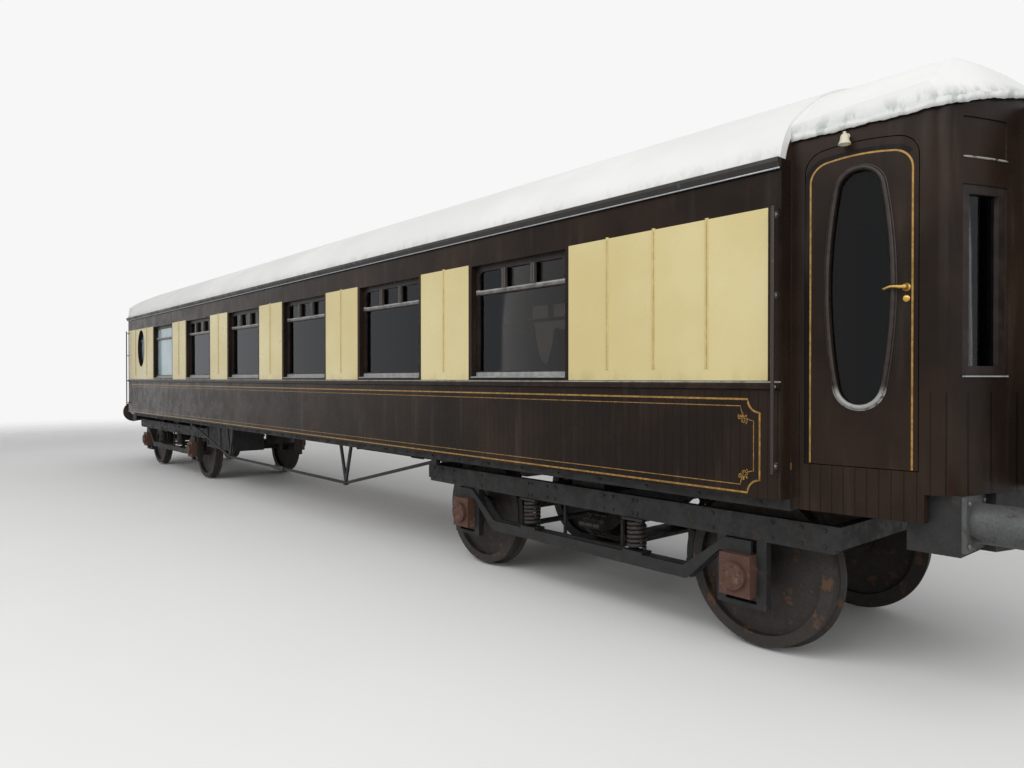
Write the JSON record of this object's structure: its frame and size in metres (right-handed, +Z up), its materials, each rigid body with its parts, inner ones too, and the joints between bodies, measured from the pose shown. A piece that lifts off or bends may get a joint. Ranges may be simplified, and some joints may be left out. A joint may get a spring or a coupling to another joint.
{
  "type": "passenger coach",
  "caption": "Railway saloon coach in brown and cream with a pale arched roof, bowed vestibule ends with oval-window doors, and sprung bogies.",
  "frame": {"origin": "under the middle of the coach on its centre line, level with the bottom of the wheel flanges; the rail tops are at Z = 0.028 m", "axes": "+X along the coach to the end that is nearest in the picture, +Y across it away from the pictured side, +Z up"},
  "size_m": [18.386, 2.752, 3.8778],
  "materials": {
    "wheel_steel": "matte",
    "axlebox": "matte",
    "black_iron": "satin",
    "umber": "gloss",
    "spring_steel": "matte",
    "buffer_ram": "satin",
    "buffer_grey": "satin",
    "brass": "satin",
    "glass": "gloss",
    "lamp": "gloss",
    "floor": "matte",
    "frosted_glass": "satin",
    "gangway_cloth": "matte",
    "grey_metal": "satin",
    "interior_wood": "satin",
    "roof": "matte",
    "upholstery": "matte",
    "frame_wood": "gloss"
  },
  "bodies": {
    "coach": {"battery_boxes": "black_iron", "body_sides": "umber", "brake_cylinders": "black_iron", "buffer_rams": "buffer_ram", "buffer_sockets": "buffer_grey", "door_hinges": "brass", "door_lamps": "lamp", "draw_hooks": "black_iron", "end_walls": "umber", "floor": "floor", "frosted_glass": "frosted_glass", "gangway_bellows": "gangway_cloth", "gangway_frames": "black_iron", "gutters": "grey_metal", "handrails": "brass", "mouldings": "umber", "partitions": "interior_wood", "queen_posts": "black_iron", "roof": "roof", "roof_ends": "roof", "seats": "upholstery", "truss_rods": "black_iron", "underframe": "black_iron", "vestibule_sides": "umber", "window_frames": "frame_wood", "window_glass": "glass"},
    "bogie_front": {"axleboxes_front": "axlebox", "bogie_bolster_front": "black_iron", "bogie_frame_front": "black_iron", "bogie_springs_front": "spring_steel", "brake_gear_front": "black_iron", "equalisers_front": "black_iron", "spring_plank_front": "black_iron"},
    "wheelset_front_outer": {"axle_front_outer": "wheel_steel", "wheels_front_outer": "wheel_steel"},
    "wheelset_front_inner": {"axle_front_inner": "wheel_steel", "wheels_front_inner": "wheel_steel"},
    "door_front_left": {"door_fittings_front_left": "brass", "door_front_left": "umber", "door_glass_front_left": "glass"},
    "door_front_right": {"door_fittings_front_right": "brass", "door_front_right": "umber", "door_glass_front_right": "glass"},
    "bogie_rear": {"axleboxes_rear": "axlebox", "bogie_bolster_rear": "black_iron", "bogie_frame_rear": "black_iron", "bogie_springs_rear": "spring_steel", "brake_gear_rear": "black_iron", "equalisers_rear": "black_iron", "spring_plank_rear": "black_iron"},
    "wheelset_rear_outer": {"axle_rear_outer": "wheel_steel", "wheels_rear_outer": "wheel_steel"},
    "wheelset_rear_inner": {"axle_rear_inner": "wheel_steel", "wheels_rear_inner": "wheel_steel"},
    "door_rear_left": {"door_fittings_rear_left": "brass", "door_glass_rear_left": "glass", "door_rear_left": "umber"},
    "door_rear_right": {"door_fittings_rear_right": "brass", "door_glass_rear_right": "glass", "door_rear_right": "umber"}
  },
  "joints": [
    {"name": "bogie_front_swivel", "type": "hinge", "parent": "coach", "child": "bogie_front", "pos_m": [5.72, 0, 1.158], "axis": [0, 0, 1], "range_deg": [-3, 3]},
    {"name": "wheelset_front_outer_turn", "type": "hinge", "parent": "bogie_front", "child": "wheelset_front_outer", "pos_m": [7.245, 0, 0.5615], "axis": [0, 1, 0], "continuous": true},
    {"name": "wheelset_front_inner_turn", "type": "hinge", "parent": "bogie_front", "child": "wheelset_front_inner", "pos_m": [4.195, 0, 0.5615], "axis": [0, 1, 0], "continuous": true},
    {"name": "door_front_left_swing", "type": "hinge", "parent": "coach", "child": "door_front_left", "pos_m": [7.76969, -1.11261, 2.258], "axis": [0, 0, 1], "range_deg": [0, 80]},
    {"name": "door_front_right_swing", "type": "hinge", "parent": "coach", "child": "door_front_right", "pos_m": [7.76969, 1.11261, 2.258], "axis": [0, 0, -1], "range_deg": [0, 80]},
    {"name": "bogie_rear_swivel", "type": "hinge", "parent": "coach", "child": "bogie_rear", "pos_m": [-5.72, 0, 1.158], "axis": [0, 0, 1], "range_deg": [-3, 3]},
    {"name": "wheelset_rear_outer_turn", "type": "hinge", "parent": "bogie_rear", "child": "wheelset_rear_outer", "pos_m": [-7.245, 0, 0.5615], "axis": [0, 1, 0], "continuous": true},
    {"name": "wheelset_rear_inner_turn", "type": "hinge", "parent": "bogie_rear", "child": "wheelset_rear_inner", "pos_m": [-4.195, 0, 0.5615], "axis": [0, 1, 0], "continuous": true},
    {"name": "door_rear_left_swing", "type": "hinge", "parent": "coach", "child": "door_rear_left", "pos_m": [-7.76969, -1.11261, 2.258], "axis": [0, 0, -1], "range_deg": [0, 80]},
    {"name": "door_rear_right_swing", "type": "hinge", "parent": "coach", "child": "door_rear_right", "pos_m": [-7.76969, 1.11261, 2.258], "axis": [0, 0, 1], "range_deg": [0, 80]}
  ]
}
